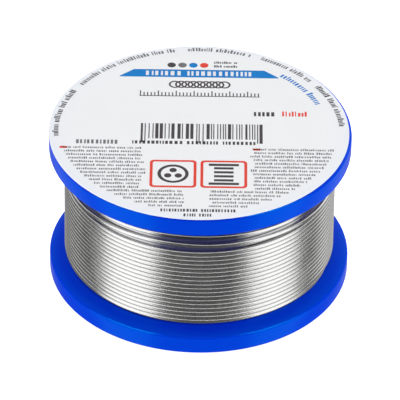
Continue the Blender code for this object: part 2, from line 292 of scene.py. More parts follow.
def moulded_polystyrene():
    """Glossy pigmented polystyrene from a polished mould, with a faint orange peel and a painted shade:
    darker faces, a lighter lit rim.

    The rounding along the rim's top is smoother, for its thin highlight. A low IOR with a strong tint keeps
    reflections blue at grazing angles too.
    """
    material, tree = new_material("moulded polystyrene, blue")
    place = add_node(tree, "ShaderNodeTexCoord").outputs["Object"]
    cloud = add_node(tree, "ShaderNodeTexNoise", {"Vector": place, "Scale": 1.0 / PIGMENT_CLOUD})
    # Painted shade: a darker blue on the faces toward the winding and a lighter one on the lit rim, set by
    # the distance from the axis
    shaded_face_blues = {0: cloud, 6: linear("021ECE"), 7: linear("0221D4")}
    face = add_node(tree, "ShaderNodeMix", shaded_face_blues, data_type="RGBA").outputs[2]
    lit_rim_blues = {0: cloud, 6: linear("0236D8"), 7: linear("0239DE")}
    edge = add_node(tree, "ShaderNodeMix", lit_rim_blues, data_type="RGBA").outputs[2]
    lit_rim_range = (from_axis(tree, place), PAINTED_RIM_LIGHT_START, PAINTED_RIM_LIGHT_FULL)
    rim = add_node(tree, "ShaderNodeMapRange", lit_rim_range)
    colour = add_node(tree, "ShaderNodeMix", {0: rim, 6: face, 7: edge}, data_type="RGBA").outputs[2]
    peel_scale = {"Vector": place, "Scale": 1.0 / ORANGE_PEEL, "Detail": 1.0}
    peel = add_node(tree, "ShaderNodeTexNoise", peel_scale)
    bump_depth = {"Height": peel, "Strength": 0.03, "Distance": 0.05 * MM}
    bump = add_node(tree, "ShaderNodeBump", bump_depth)
    upward = facing_up(tree)
    above_side = add_node(tree, "ShaderNodeMapRange", (upward, 0.25, 0.45))
    rounding = add_node(tree, "ShaderNodeMapRange", (upward, 0.9, 0.8, 0.0, above_side))
    roughness = add_node(tree, "ShaderNodeMapRange", (rounding, 0.0, 1.0, 0.275, 0.13))
    look = {"Base Color": colour, "Roughness": roughness, "Normal": bump}
    end_material(tree, {**look, "IOR": 1.1, "Specular Tint": (0.0, 15.6, 23.0, 1.0)})
    return material


def drawn_solder(name, colours, roughness, shade_heights, clear_above, glow):
    """Bright tin-lead wire drawn through a die: fine lines along it and a slight haze of oxide.

    The blue flanges' shade and reflection in the gaps between turns are painted: a dark purple painted shade
    and a faint painted blue glow. The painted shade sets in between two heights, on what faces up less than
    clear_above. Both keep off the bright bands and weaken on the sides.
    """
    material, tree = new_material(name)
    place = add_node(tree, "ShaderNodeTexCoord").outputs["Object"]
    along = add_node(tree, "ShaderNodeUVMap", uv_map="UVMap").outputs["UV"]
    haze = add_node(tree, "ShaderNodeTexNoise", {"Vector": place, "Scale": 1.0 / OXIDE_HAZE})
    stretch = {"Vector": along, "Scale": (1.0 / DRAWING_STRETCH, 1.0, 1.0)}
    stretched = add_node(tree, "ShaderNodeMapping", stretch).outputs["Vector"]
    line_scale = {"Vector": stretched, "Scale": 1.0 / DRAWING_LINE, "Detail": 1.0}
    lines = add_node(tree, "ShaderNodeTexNoise", line_scale)
    bump_depth = {"Height": lines, "Strength": 0.03, "Distance": 0.02 * MM}
    bump = add_node(tree, "ShaderNodeBump", bump_depth)
    tangent = add_node(tree, "ShaderNodeTangent", direction_type="UV_MAP", uv_map="UVMap")
    spot = add_node(tree, "ShaderNodeSeparateXYZ", (place,)).outputs
    # Painted shade mask: none on the bright bands, weaker on the sides, strongest near the flange on surfaces
    # facing down
    aside = add_node(tree, "ShaderNodeMath", (spot["X"],), operation="ABSOLUTE")
    past_band = add_node(tree, "ShaderNodeMath", (aside, BAND_ASIDE), operation="SUBTRACT")
    off_band = add_node(tree, "ShaderNodeMath", (past_band,), operation="ABSOLUTE")
    unlit = add_node(tree, "ShaderNodeMapRange", (off_band, BAND_HALF_WIDTH, BAND_FADE_END))
    inside = add_node(tree, "ShaderNodeMapRange", (aside, SIDE_FULL, SIDE_START, SIDE_SHADE))
    gap = add_node(tree, "ShaderNodeMath", (unlit, inside), operation="MULTIPLY")
    near_flange = add_node(tree, "ShaderNodeMapRange", (spot["Z"], *shade_heights, 0.0, GAP_SHADE))
    low_range = (facing_up(tree), clear_above, clear_above - CLEAR_FADE)
    low_side = add_node(tree, "ShaderNodeMapRange", low_range)
    under_flange_shade = add_node(tree, "ShaderNodeMath", (near_flange, low_side), operation="MULTIPLY")
    shade = add_node(tree, "ShaderNodeMath", (under_flange_shade, gap), operation="MULTIPLY")
    metals = {0: haze, 6: linear(colours[0]), 7: linear(colours[1])}
    bright = add_node(tree, "ShaderNodeMix", metals, data_type="RGBA").outputs[2]
    # 5C5C70 is the painted shade's dark purple, mixed into the base colour
    painted_shade_mix = {0: shade, 6: bright, 7: linear("5C5C70")}
    colour = add_node(tree, "ShaderNodeMix", painted_shade_mix, data_type="RGBA").outputs[2]
    hazy = add_node(tree, "ShaderNodeMapRange", (haze, 0.3, 0.7, *roughness))
    # A painted blue glow, in place of the flanges' reflection
    painted_glow_strength = add_node(tree, "ShaderNodeMath", (gap, glow), operation="MULTIPLY")
    metal = {"Base Color": colour, "Metallic": 1.0, "Roughness": hazy, "Anisotropic": 0.3}
    painted_blue_reflection = {"Emission Color": linear("8080FF"), "Emission Strength": painted_glow_strength}
    end_material(tree, {**metal, "Normal": bump, "Tangent": tangent, **painted_blue_reflection})
    return material


def coated_paper():
    """White coated label paper: a soft sheen over a faint cloud of fibres, and a painted blue bounce from the
    rim toward its edge.
    """
    material, tree = new_material("coated paper, white")
    place = add_node(tree, "ShaderNodeTexCoord").outputs["Object"]
    cloud = add_node(tree, "ShaderNodeTexNoise", {"Vector": place, "Scale": 1.0 / PAPER_CLOUD})
    whites = {0: cloud, 6: linear("F4F5F7"), 7: linear("F8F9FB")}
    white = add_node(tree, "ShaderNodeMix", whites, data_type="RGBA").outputs[2]
    painted_bounce_range = (from_axis(tree, place), PAINTED_BOUNCE_START, PAINTED_BOUNCE_FULL)
    edge = add_node(tree, "ShaderNodeMapRange", painted_bounce_range)
    # Painted reflected light: toward the edge the white turns to a blue tint, for the light that the blue rim
    # throws back
    colours = {0: edge, 6: white, 7: linear("F2F6FD")}
    colour = add_node(tree, "ShaderNodeMix", colours, data_type="RGBA").outputs[2]
    fibre_scale = {"Vector": place, "Scale": 1.0 / PAPER_FIBRE, "Detail": 4.0}
    fibres = add_node(tree, "ShaderNodeTexNoise", fibre_scale)
    bump_depth = {"Height": fibres, "Strength": 0.05, "Distance": 0.02 * MM}
    bump = add_node(tree, "ShaderNodeBump", bump_depth)
    sheen = add_node(tree, "ShaderNodeMapRange", (fibres, 0.3, 0.7, 0.38, 0.5))
    end_material(tree, {"Base Color": colour, "Roughness": sheen, "Normal": bump})
    return material


def printing_ink(name, solid, thin):
    """Ink printed on coated paper, a little uneven in its cover."""
    material, tree = new_material(name)
    place = add_node(tree, "ShaderNodeTexCoord").outputs["Object"]
    cloud_scale = {"Vector": place, "Scale": 1.0 / INK_CLOUD, "Detail": 3.0}
    cloud = add_node(tree, "ShaderNodeTexNoise", cloud_scale)
    cover = add_node(tree, "ShaderNodeMapRange", (cloud, 0.35, 0.65))
    colours = {0: cover, 6: linear(solid), 7: linear(thin)}
    colour = add_node(tree, "ShaderNodeMix", colours, data_type="RGBA").outputs[2]
    sheen = add_node(tree, "ShaderNodeMapRange", (cloud, 0.3, 0.7, 0.35, 0.5))
    end_material(tree, {"Base Color": colour, "Roughness": sheen, "IOR": 1.25})
    return material


def put(name, mesh):
    obj = bpy.data.objects.new(name, mesh)
    bpy.context.scene.collection.objects.link(obj)
    return obj


def baked(obj, name):
    """A new object with the mesh that an object's modifiers give it; the old one is removed."""
    graph = bpy.context.evaluated_depsgraph_get()
    mesh = bpy.data.meshes.new_from_object(obj.evaluated_get(graph), depsgraph=graph)
    mesh.transform(obj.matrix_world)
    bpy.data.objects.remove(obj, do_unlink=True)
    mesh.name = name
    return put(name, mesh)


def shade_round(obj):
    obj.data.shade_smooth()
    obj.data.set_sharp_from_angle(angle=radians(SHARP_DEGREES))


def rounded_corner(before, corner, after, radius):
    """Points of the arc that rounds a corner of an outline, from its first side to its second."""
    first = (Vector(before) - Vector(corner)).normalized()
    second = (Vector(after) - Vector(corner)).normalized()
    half_angle = first.angle(second) / 2
    setback = radius / tan(half_angle)
    centre = Vector(corner) + (first + second).normalized() * (radius / sin(half_angle))
    start = Vector(corner) + first * setback - centre
    end = Vector(corner) + second * setback - centre
    turn = start.angle_signed(end)
    points = []
    for step in range(CORNER_STEPS + 1):
        spoke = start.copy()
        spoke.rotate(Matrix.Rotation(-turn * step / CORNER_STEPS, 2))
        points.append(tuple(centre + spoke))
    return points


def outline_points(corners):
    """Radius and height of each point of an outline whose corners are (radius, height, fillet radius)."""
    points = []
    for index, (radius, height, fillet) in enumerate(corners):
        before = corners[index - 1][:2]
        after = corners[(index + 1) % len(corners)][:2]
        if fillet > 0:
            points += rounded_corner(before, (radius, height), after, fillet)
        else:
            points.append((radius, height))
    return points


def turned_body(name, corners, steps):
    """A closed outline turned round the Z axis, faces outwards."""
    points = outline_points(corners)
    mesh = bpy.data.meshes.new(name)
    edges = [(i, (i + 1) % len(points)) for i in range(len(points))]
    mesh.from_pydata([(x, 0.0, z) for x, z in points], edges, [])
    obj = put(name, mesh)
    screw = obj.modifiers.new("turn", "SCREW")
    screw.axis = "Z"
    screw.angle = 2 * pi
    screw.steps = steps
    screw.render_steps = steps
    screw.use_merge_vertices = True
    screw.merge_threshold = SEAM_WELD
    body = baked(obj, name)
    shape = bmesh.new()
    shape.from_mesh(body.data)
    # An outline that reaches the axis leaves points on each other and faces without area there
    bmesh.ops.remove_doubles(shape, verts=shape.verts, dist=AXIS_WELD)
    slivers = [face for face in shape.faces if face.calc_area() < SLIVER_AREA]
    bmesh.ops.delete(shape, geom=slivers, context="FACES")
    bmesh.ops.recalc_face_normals(shape, faces=shape.faces)
    shape.to_mesh(body.data)
    shape.free()
    return body


def new_tree(name, inputs):
    """A geometry tree with these named inputs, a geometry and a material; gives it and its input sockets."""
    tree = bpy.data.node_groups.new(name, "GeometryNodeTree")
    tree.interface.new_socket(name="Geometry", in_out="INPUT", socket_type="NodeSocketGeometry")
    tree.interface.new_socket(name="Material", in_out="INPUT", socket_type="NodeSocketMaterial")
    for label, value in inputs.items():
        kind = "NodeSocketInt" if isinstance(value, int) else "NodeSocketFloat"
        tree.interface.new_socket(name=label, in_out="INPUT", socket_type=kind).default_value = value
    tree.interface.new_socket(name="Geometry", in_out="OUTPUT", socket_type="NodeSocketGeometry")
    return tree, tree.nodes.new("NodeGroupInput").outputs


def end_tree(tree, geometry, material):
    """Closes a tree with Realize Instances and Set Material."""
    real = add_node(tree, "GeometryNodeRealizeInstances", {"Geometry": geometry})
    coated = add_node(tree, "GeometryNodeSetMaterial", {"Geometry": real, "Material": material})
    add_node(tree, "NodeGroupOutput", {"Geometry": coated})


def grown(name, host, tree, **values):
    """The plain mesh that a geometry tree makes on a host object, with its inputs set by name."""
    modifier = host.modifiers.new(tree.name, "NODES")
    modifier.node_group = tree
    identifiers = {s.name: s.identifier for s in tree.interface.items_tree if s.in_out == "INPUT"}
    for label, value in values.items():
        modifier[identifiers[label.replace("_", " ").capitalize()]] = value
    piece = baked(host, name)
    piece.data.materials.clear()
    piece.data.materials.append(values["material"])
    return piece


def combined(body, other, operation):
    """Joins another body to this one, or cuts it away."""
    modifier = body.modifiers.new(operation, "BOOLEAN")
    modifier.operation = operation
    modifier.solver = "EXACT"
    modifier.object = other
    name = body.name
    result = baked(body, name)
    bpy.data.objects.remove(other, do_unlink=True)
    return result


def spoke_tree():
    """Plates that stand round an axis like spokes."""
    tree, get = new_tree(
        "plates round an axis",
        {"Count": 12, "Inner radius": 0.0, "Outer radius": 0.0, "Thickness": 0.0, "Low": 0.0, "High": 0.0},
    )
    near = add_node(tree, "ShaderNodeCombineXYZ", (get["Inner radius"], 0.0, get["Low"]))
    far = add_node(tree, "ShaderNodeCombineXYZ", (get["Outer radius"], 0.0, get["High"]))
    thick = add_node(tree, "ShaderNodeCombineXYZ", (0.0, get["Thickness"], 0.0))
    span = add_node(tree, "ShaderNodeVectorMath", (far, near), operation="SUBTRACT")
    size = add_node(tree, "ShaderNodeVectorMath", (span, thick), operation="ADD")
    both = add_node(tree, "ShaderNodeVectorMath", (far, near), operation="ADD")
    middle = add_node(tree, "ShaderNodeVectorMath", {0: both, "Scale": 0.5}, operation="SCALE")
    plate = add_node(tree, "GeometryNodeMeshCube", {"Size": size}).outputs["Mesh"]
    moved = add_node(tree, "GeometryNodeTransform", {"Geometry": plate, "Translation": middle})
    in_place = {"Count": get["Count"], "Offset": (0.0, 0.0, 0.0)}
    places = add_node(tree, "GeometryNodeMeshLine", in_place)
    index = add_node(tree, "GeometryNodeInputIndex")
    step = add_node(tree, "ShaderNodeMath", (2 * pi, get["Count"]), operation="DIVIDE")
    angle = add_node(tree, "ShaderNodeMath", (index, step), operation="MULTIPLY")
    turn = add_node(tree, "ShaderNodeCombineXYZ", (0.0, 0.0, angle))
    spread = {"Points": places, "Instance": moved, "Rotation": turn}
    plates = add_node(tree, "GeometryNodeInstanceOnPoints", spread)
    end_tree(tree, plates, get["Material"])
    return tree


def empty_host(name):
    return put(name, bpy.data.meshes.new(name))


def flange_outline():
    """Half section of a flange that lies with its outer face down."""
    spigot_inner = SPIGOT_RADIUS - SPIGOT_WALL
    return [
        (RIM_INNER_RADIUS, 0.0, RIM_FOOT_RADIUS),
        (FLANGE_RADIUS, 0.0, RIM_EDGE_RADIUS),
        (FLANGE_RADIUS, RIM_HEIGHT, RIM_EDGE_RADIUS),
        (FLANGE_RADIUS - SLOPE_WIDTH, FLANGE_DEPTH, SLOPE_BLEND_RADIUS),
        (SPIGOT_RADIUS, FLANGE_DEPTH, 0.0),
        (SPIGOT_RADIUS, SNAP_CENTRE - SNAP_WIDTH / 2, 0.0),
        (SPIGOT_RADIUS + SNAP_HEIGHT, SNAP_CENTRE, 0.0),
        (SPIGOT_RADIUS, SNAP_CENTRE + SNAP_WIDTH / 2, 0.0),
        (SPIGOT_RADIUS, SPIGOT_TIP, 0.0),
        (spigot_inner, SPIGOT_TIP, 0.0),
        (spigot_inner, FLANGE_DEPTH, 0.0),
        (COLLAR_INNER_RADIUS, FLANGE_DEPTH, 0.0),
        (COLLAR_INNER_RADIUS, RIB_SETBACK, COLLAR_EDGE_RADIUS),
        (COLLAR_OUTER_RADIUS, RIB_SETBACK, COLLAR_EDGE_RADIUS),
        (COLLAR_OUTER_RADIUS, WEB_OUTER_FACE, WEB_CORNER_RADIUS),
        (RIM_INNER_RADIUS, WEB_OUTER_FACE, WEB_CORNER_RADIUS),
    ]


def round_cutter(name, radius, low, high, x, y):
    mesh = bpy.data.meshes.new(name)
    shape = bmesh.new()
    bmesh.ops.create_cone(
        shape,
        cap_ends=True,
        segments=HOLE_STEPS,
        radius1=radius,
        radius2=radius,
        depth=high - low,
        matrix=Matrix.Translation((x, y, (low + high) / 2)),
    )
    shape.to_mesh(mesh)
    shape.free()
    return put(name, mesh)


def flange_body(spokes, plastic):
    flange = turned_body("flange", flange_outline(), FLANGE_STEPS)
    flange.data.materials.append(plastic)
    ribs = grown(
        "flange_ribs",
        empty_host("rib_host"),
        spokes,
        count=RIB_COUNT,
        inner_radius=COLLAR_OUTER_RADIUS - OVERLAP,
        outer_radius=RIM_INNER_RADIUS + OVERLAP,
        thickness=RIB_THICKNESS,
        low=RIB_SETBACK,
        high=WEB_OUTER_FACE + OVERLAP,
        material=plastic,
    )
    rounding = ribs.modifiers.new("edges", "BEVEL")
    rounding.width = RIB_EDGE_RADIUS
    rounding.segments = RIB_EDGE_STEPS
    flange = combined(flange, baked(ribs, "flange_ribs"), "UNION")
    hole_radius = START_HOLE_DIAMETER / 2
    reach = BARREL_RADIUS + START_HOLE_MARGIN + hole_radius
    between_ribs = pi / RIB_COUNT
    x, y = reach * cos(between_ribs), reach * sin(between_ribs)
    return combined(flange, round_cutter("start_hole", hole_radius, 0.0, SPIGOT_TIP, x, y), "DIFFERENCE")


def make_flanges(spokes, plastic):
    """One moulding used twice: the upper one is turned over. The wire doesn't mirror them, as that would
    throw blue specks on the last turns."""
    lower = flange_body(spokes, plastic)
    lower.name = "lower_flange_moulding"
    upper = put("upper_flange_moulding", lower.data.copy())
    turned_over = Matrix.Translation((0.0, 0.0, SPOOL_HEIGHT)) @ Matrix.Rotation(pi, 4, "X")
    upper.data.transform(turned_over)
    for piece, node in ((lower, "lower_flange"), (upper, "upper_flange")):
        shade_round(piece)
        piece.visible_glossy = False
        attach(piece, "root")
        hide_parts(node)


def barrel_outline():
    low = FLANGE_DEPTH + SEAT_GAP
    high = FLANGE_INNER_FACE - SEAT_GAP
    groove = BARREL_INNER_RADIUS + SNAP_HEIGHT
    half_groove = SNAP_WIDTH / 2 + FIT_CLEARANCE
    upper_snap = SPOOL_HEIGHT - SNAP_CENTRE
    return [
        (BARREL_RADIUS, low, 0.0),
        (BARREL_RADIUS, high, 0.0),
        (BARREL_INNER_RADIUS, high, 0.0),
        (BARREL_INNER_RADIUS, upper_snap + half_groove, 0.0),
        (groove, upper_snap, 0.0),
        (BARREL_INNER_RADIUS, upper_snap - half_groove, 0.0),
        (BARREL_INNER_RADIUS, SNAP_CENTRE + half_groove, 0.0),
        (groove, SNAP_CENTRE, 0.0),
        (BARREL_INNER_RADIUS, SNAP_CENTRE - half_groove, 0.0),
        (BARREL_INNER_RADIUS, low, 0.0),
    ]


def bore_tube_outline():
    low = BORE_SETBACK
    high = SPOOL_HEIGHT - BORE_SETBACK
    return [
        (BORE_OUTER_RADIUS, low, BORE_EDGE_RADIUS),
        (BORE_OUTER_RADIUS, high, BORE_EDGE_RADIUS),
        (BORE_RADIUS, high, BORE_CHAMFER),
        (BORE_RADIUS, low, BORE_CHAMFER),
    ]


def make_barrel(spokes, plastic):
    barrel = turned_body("barrel_moulding", barrel_outline(), BARREL_STEPS)
    barrel.data.materials.append(plastic)
    barrel = combined(barrel, turned_body("bore_tube", bore_tube_outline(), BARREL_STEPS), "UNION")
    ribs = grown(
        "barrel_ribs",
        empty_host("rib_host"),
        spokes,
        count=BARREL_RIBS,
        inner_radius=BORE_OUTER_RADIUS - OVERLAP,
        outer_radius=BARREL_INNER_RADIUS + OVERLAP,
        thickness=BARREL_RIB_THICKNESS,
        low=SPIGOT_TIP + FIT_CLEARANCE,
        high=SPOOL_HEIGHT - SPIGOT_TIP - FIT_CLEARANCE,
        material=plastic,
    )
    barrel = combined(barrel, ribs, "UNION")
    shade_round(barrel)
    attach(barrel, "root")
    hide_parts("barrel")


def wire_tree():
    """A round wire swept along the host's line, slightly uneven, its length and girth as UV in metres."""
    tree, get = new_tree(
        "wire along a line", {"Wire radius": WIRE_RADIUS, "Sides": WIRE_SIDES, "Unevenness": 0.0, "Seed": 0.0}
    )
    line = add_node(tree, "GeometryNodeMeshToCurve", {"Mesh": get["Geometry"]})
    length = add_node(tree, "GeometryNodeSplineParameter").outputs["Length"]
    bends = add_node(tree, "ShaderNodeMath", (length, 1.0 / SWAY_LENGTH), operation="MULTIPLY")
    spot = add_node(tree, "ShaderNodeMath", (bends, get["Seed"]), operation="ADD")
    sway = add_node(tree, "ShaderNodeTexNoise", {"W": spot}, noise_dimensions="1D").outputs["Color"]
    centred = add_node(tree, "ShaderNodeVectorMath", (sway, (0.5, 0.5, 0.5)), operation="SUBTRACT")
    by_size = {0: centred, "Scale": get["Unevenness"]}
    pushed = add_node(tree, "ShaderNodeVectorMath", by_size, operation="SCALE")
    swayed = add_node(tree, "GeometryNodeSetPosition", {"Geometry": line, "Offset": pushed})
    kept = add_node(tree, "GeometryNodeCaptureAttribute", {"Geometry": swayed})
    kept.capture_items.new("FLOAT", "along")
    tree.links.new(length, kept.inputs["along"])
    circle = {"Resolution": get["Sides"], "Radius": get["Wire radius"]}
    ring = add_node(tree, "GeometryNodeCurvePrimitiveCircle", circle).outputs["Curve"]
    girth = add_node(tree, "GeometryNodeCaptureAttribute", {"Geometry": ring})
    girth.capture_items.new("FLOAT", "around")
    around = add_node(tree, "GeometryNodeSplineParameter").outputs["Length"]
    tree.links.new(around, girth.inputs["around"])
    swept = {"Curve": kept, "Profile Curve": girth, "Fill Caps": True}
    tube = add_node(tree, "GeometryNodeCurveToMesh", swept)
    lengths = (kept.outputs["along"], girth.outputs["around"])
    place = add_node(tree, "ShaderNodeCombineXYZ", lengths)
    as_uv = {"Geometry": tube, "Name": "UVMap", "Value": place}
    mapped = add_node(tree, "GeometryNodeStoreNamedAttribute", as_uv, data_type="FLOAT2", domain="CORNER")
    smooth = add_node(tree, "GeometryNodeSetShadeSmooth", {"Geometry": mapped, "Shade Smooth": True})
    end_tree(tree, smooth, get["Material"])
    return tree


def line_host(name, points):
    """An object that holds one line of points."""
    mesh = bpy.data.meshes.new(name)
    mesh.from_pydata([tuple(point) for point in points], [(i, i + 1) for i in range(len(points) - 1)], [])
    return put(name, mesh)


def turn_height(turns):
    """Height of the wire's centre after so many turns: close ones, then the spread ones on a smooth curve."""
    if turns <= SPREAD_ROUTE[0][0]:
        return FIRST_TURN_HEIGHT + max(turns, 0.0) * TURN_PITCH
    spots = [(t, z * MM) for t, z in SPREAD_ROUTE]
    slopes = [TURN_PITCH]
    for (t0, z0), (t1, z1) in zip(spots, spots[2:]):
        slopes.append((z1 - z0) / (t1 - t0))
    slopes.append(0.0)
    for (t0, z0), (t1, z1), m0, m1 in zip(spots, spots[1:], slopes, slopes[1:]):
        if turns <= t1:
            span = t1 - t0
            u = (turns - t0) / span
            rise = z0 * (2 * u**3 - 3 * u**2 + 1) + z1 * (3 * u**2 - 2 * u**3)
            return rise + span * (m0 * (u**3 - 2 * u**2 + u) + m1 * (u**3 - u**2))
    return spots[-1][1]


def turn_direction(turns):
    """Outward direction after this many turns, as the wire runs clockwise seen from above."""
    angle = radians(WIRE_START_DEGREES) - 2 * pi * turns
    return Vector((sin(angle), -cos(angle), 0.0))


def eased(share):
    """Goes smoothly from 0 to 1 as a share does."""
    share = min(max(share, 0.0), 1.0)
    return share * share * (3 - 2 * share)


def turn_radius(turns):
    """The wire climbs from the layer below at its start and dives back under the last turns at its end."""
    climb = LAYER_STEP * (1 - eased((turns + CLIMB_TURNS) / CLIMB_TURNS))
    dive = DIVE_DEPTH * eased((turns - TOTAL_TURNS + DIVE_TURNS) / DIVE_TURNS)
    return TURN_RADIUS - climb - dive


def outer_layer_line():
    count = round((TOTAL_TURNS + CLIMB_TURNS) * POINTS_PER_TURN)
    points = []
    for index in range(count + 1):
        turns = -CLIMB_TURNS + (TOTAL_TURNS + CLIMB_TURNS) * index / count
        points.append(turn_direction(turns) * turn_radius(turns) + Vector((0.0, 0.0, turn_height(turns))))
    return points


def lower_layer_line():
    """The layer below, wound the other way down to the lower flange, where it climbs onto the outer layer."""
    radius = TURN_RADIUS - LAYER_STEP
    height = FLANGE_INNER_FACE - FLANGE_DEPTH - WIRE_DIAMETER - 2 * SEAT_GAP
    turns = height / TURN_PITCH
    count = round(turns * POINTS_PER_TURN)
    points = []
    for index in range(count + 1):
        outward = turn_direction(-CLIMB_TURNS - turns * index / count)
        level = FIRST_TURN_HEIGHT + height * index / count
        points.append(outward * radius + Vector((0.0, 0.0, level)))
    return points


def make_winding(wires, solder, shaded_solder):
    outer = grown(
        "wound_wire_outer_turns",
        line_host("outer_line", outer_layer_line()),
        wires,
        unevenness=SWAY,
        seed=3.0,
        material=solder,
    )
    lower = grown(
        "wound_wire_inner_turns",
        line_host("lower_line", lower_layer_line()),
        wires,
        sides=LOWER_WIRE_SIDES,
        unevenness=SWAY,
        seed=8.0,
        material=shaded_solder,
    )
    for piece, node in ((outer, "solder_outer_layer"), (lower, "solder_inner_layers")):
        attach(piece, "root")
        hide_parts(node)


def label_outline():
    return [
        (0.0, LABEL_LOW, 0.0),
        (LABEL_RADIUS, LABEL_LOW, 0.0),
        (LABEL_RADIUS, LABEL_TOP, LABEL_EDGE_RADIUS),
        (0.0, LABEL_TOP, 0.0),
    ]


def make_label(paper):
    label = turned_body("paper_label", label_outline(), FLANGE_STEPS)
    label.data.transform(Matrix.Translation((*LABEL_SHIFT, 0.0)))
    label.data.materials.append(paper)
    shade_round(label)
    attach(label, "root")
    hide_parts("label")


def mark_tree():
    """A flat bar of ink on each of the host's points, with that point's size and turn."""
    tree, get = new_tree("printed marks", {"Ink depth": INK_HEIGHT + INK_SINK})
    bar = add_node(tree, "GeometryNodeMeshCube", {"Size": (1.0, 1.0, 1.0)}).outputs["Mesh"]
    size_name, turn_name = {"Name": "mark_size"}, {"Name": "mark_turn"}
    size = add_node(tree, "GeometryNodeInputNamedAttribute", size_name, data_type="FLOAT_VECTOR")
    turn = add_node(tree, "GeometryNodeInputNamedAttribute", turn_name, data_type="FLOAT")
    depth = add_node(tree, "ShaderNodeCombineXYZ", (0.0, 0.0, get["Ink depth"]))
    scale = add_node(tree, "ShaderNodeVectorMath", (size, depth), operation="ADD")
    rotation = add_node(tree, "ShaderNodeCombineXYZ", (0.0, 0.0, turn))
    spread = {"Points": get["Geometry"], "Instance": bar, "Rotation": rotation, "Scale": scale}
    bars = add_node(tree, "GeometryNodeInstanceOnPoints", spread)
    end_tree(tree, bars, get["Material"])
    return tree


def on_label(x, y, level):
    """A point of the label, given in millimetres off its centre, at a level of the scene."""
    return x * MM + LABEL_SHIFT[0], y * MM + LABEL_SHIFT[1], level


def straight(height):
    """Where a run of marks stands: so far along a straight line, and lifted off it."""
    return lambda along, lift: (along, height + lift, 0.0)


def curved(radius):
    """The same along an arc, with its length measured from the back of the label."""

    def place(along, lift):
        angle = along / radius
        return (radius + lift) * sin(angle), (radius + lift) * cos(angle), -angle

    return place


def small_print(rng, place, low, high, height, width=0.42, gap=0.24, tall=0.3):
    """Runs of little bars in groups, as small print looks from a step away. Width and gap go by the height,
    tall is the share of higher bars. A mark is its middle's x and y, its width, its height and its turn."""
    marks = []
    along = low
    while along < high:
        for _ in range(rng.randint(*GROUP_BARS)):
            length = height * width * rng.uniform(0.6, 1.5)
            if along + length > high:
                return marks
            rise = height * (TALL_RISE if rng.random() < tall else 0.0)
            x, y, turn = place(along + length / 2, (height + rise) / 2)
            marks.append((x, y, length, height + rise, turn))
            along += length + gap * height * rng.uniform(0.7, 1.4)
        along += GROUP_GAP * height
    return marks


def disc(x, y, radius):
    angles = [2 * pi * step / DISC_STEPS for step in range(DISC_STEPS)]
    return [(x + radius * cos(angle), y + radius * sin(angle)) for angle in angles]


def rounded_square(x, y, half, fillet):
    corners = ((-half, -half), (half, -half), (half, half), (-half, half))
    return outline_points([(x + a, y + b, fillet) for a, b in corners])


def add_inked(shape, outer, inner=None, extra=0.0):
    """A flat closed shape of ink inside an outline, or between an outline and an inner one."""
    low, high = LABEL_TOP - INK_SINK, LABEL_TOP + INK_HEIGHT + extra
    rings = []
    for loop in (outer, inner) if inner else (outer,):
        for level in (low, high):
            rings.append([shape.verts.new(on_label(x, y, level)) for x, y in loop])
    pairs = [(rings[0], rings[1])]
    if inner:
        pairs += [(rings[1], rings[3]), (rings[3], rings[2]), (rings[2], rings[0])]
    else:
        shape.faces.new(rings[0])
        shape.faces.new(rings[1])
    for first, second in pairs:
        for i in range(len(first)):
            j = (i + 1) % len(first)
            shape.faces.new((first[i], first[j], second[j], second[i]))


def printed(name, marks, shapes, tree, ink, lift):
    """One ink's print: its bars, and its outlined shapes."""
    host = bpy.data.meshes.new(name)
    level = LABEL_TOP + (INK_HEIGHT - INK_SINK) / 2 + lift
    host.from_pydata([on_label(x, y, level) for x, y, *_ in marks], [], [])
    sizes = [size for _, _, width, height, _ in marks for size in (width * MM, height * MM, 0.0)]
    turns = [turn for *_, turn in marks]
    host.attributes.new("mark_size", "FLOAT_VECTOR", "POINT").data.foreach_set("vector", sizes)
    host.attributes.new("mark_turn", "FLOAT", "POINT").data.foreach_set("value", turns)
    piece = grown(name, put(name, host), tree, material=ink)
    shape = bmesh.new()
    shape.from_mesh(piece.data)
    for outlines in shapes:
        add_inked(shape, *outlines)
    bmesh.ops.recalc_face_normals(shape, faces=shape.faces)
    shape.to_mesh(piece.data)
    shape.free()
    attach(piece, "root")


def paragraph_marks(rng, side):
    """Lines of small print between the label's edge and its middle, on the left (-1) or the right (1)."""
    marks = []
    for row in range(PARAGRAPH_ROWS):
        y = PARAGRAPH_TOP - PARAGRAPH_STEP * row
        outer = sqrt(PARAGRAPH_RADIUS**2 - (y - PARAGRAPH_DROP) ** 2)
        inner = FIGURES_SIDE if y > FIGURES_FOOT else MIDDLE_GAP
        ragged = inner + rng.uniform(0.0, RAGGED_EDGE)
        low, high = (-outer, -ragged) if side < 0 else (ragged, outer)
        marks += small_print(rng, straight(y), low, high, PARAGRAPH_HEIGHT)
    return marks


def striped_panel(rng):
    """A panel of upright stripes of uneven width, with longer ones at its ends and middle."""
    marks = []
    x = PANEL_LEFT
    while x < PANEL_RIGHT:
        width = rng.choice(STRIPE_WIDTHS)
        long = min(abs(x - PANEL_LEFT), abs(x), abs(x - PANEL_RIGHT)) < LONG_STRIPES
        foot = PANEL_LONG_FOOT if long else PANEL_FOOT
        marks.append((x + width / 2, (PANEL_TOP + foot) / 2, width, PANEL_TOP - foot, 0.0))
        x += width + rng.choice(STRIPE_GAPS)
    return marks


def tick_scale():
    """A base line with upright ticks, every fifth one longer."""
    marks = [(0.0, 12.4, 25.2, THIN_LINE, 0.0)]
    for index in range(34):
        height = 1.8 if index % 5 == 0 else 1.2
        marks.append((-12.4 + 0.75 * index, 12.5 + height / 2, THIN_LINE, height, 0.0))
    return marks


